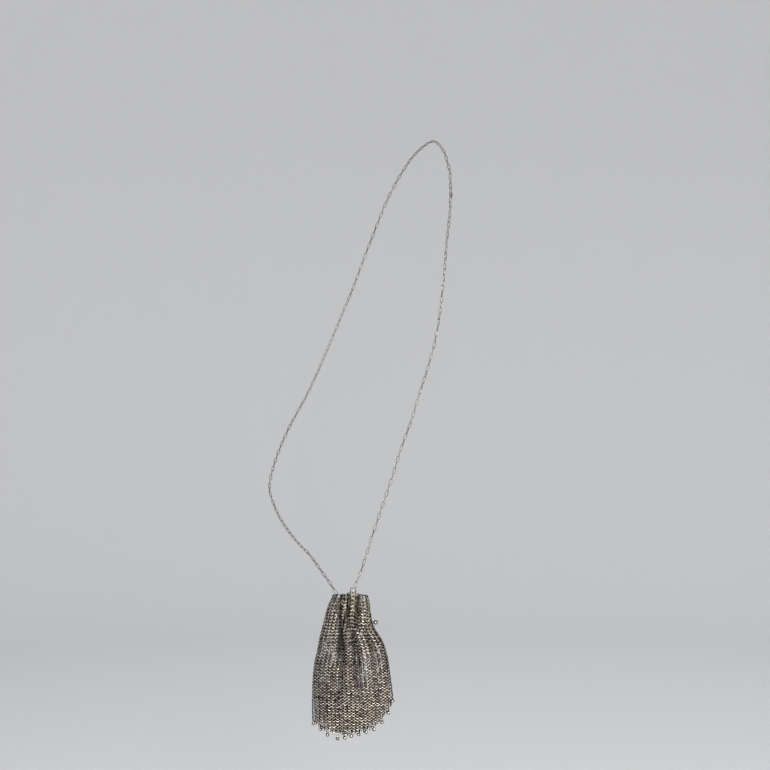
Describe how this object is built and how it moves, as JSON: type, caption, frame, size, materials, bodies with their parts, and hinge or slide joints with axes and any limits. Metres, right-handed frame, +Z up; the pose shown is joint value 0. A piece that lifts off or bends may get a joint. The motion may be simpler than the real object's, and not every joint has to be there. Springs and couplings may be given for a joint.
{
  "type": "ring-mesh drawstring purse on a long chain",
  "caption": "Small drawstring pouch of linked steel rings with gathered mouth, small balls along its rounded foot and a long cable chain worn across the body.",
  "frame": {"origin": "the top of the chain's loop, where it lies over the wearer's left shoulder", "axes": "+Z up, -Y out of the purse's front, +X to the viewer's right"},
  "size_m": [0.1846, 0.238, 0.5844],
  "materials": {
    "ring_mesh": "aged bright steel wire rings, grey with a faint brown tarnish between them",
    "chain_steel": "aged steel wire, darker and browner than the mesh, with bright spots where it is rubbed",
    "ball_steel": "polished steel balls, dark at the rim with a bright spot"
  },
  "bodies": {
    "root": {"mesh_bag": "ring_mesh", "chain_front": "chain_steel", "chain_back": "chain_steel", "join_ring_lower": "chain_steel", "join_ring_upper": "chain_steel", "stop_ball_right": "ball_steel", "stop_ball_left": "ball_steel", "drop_01": "ball_steel", "drop_02": "ball_steel", "drop_03": "ball_steel", "drop_04": "ball_steel", "drop_05": "ball_steel", "drop_06": "ball_steel", "drop_07": "ball_steel", "drop_08": "ball_steel", "drop_09": "ball_steel", "drop_10": "ball_steel", "drop_11": "ball_steel", "drop_12": "ball_steel"}
  },
  "joints": []
}
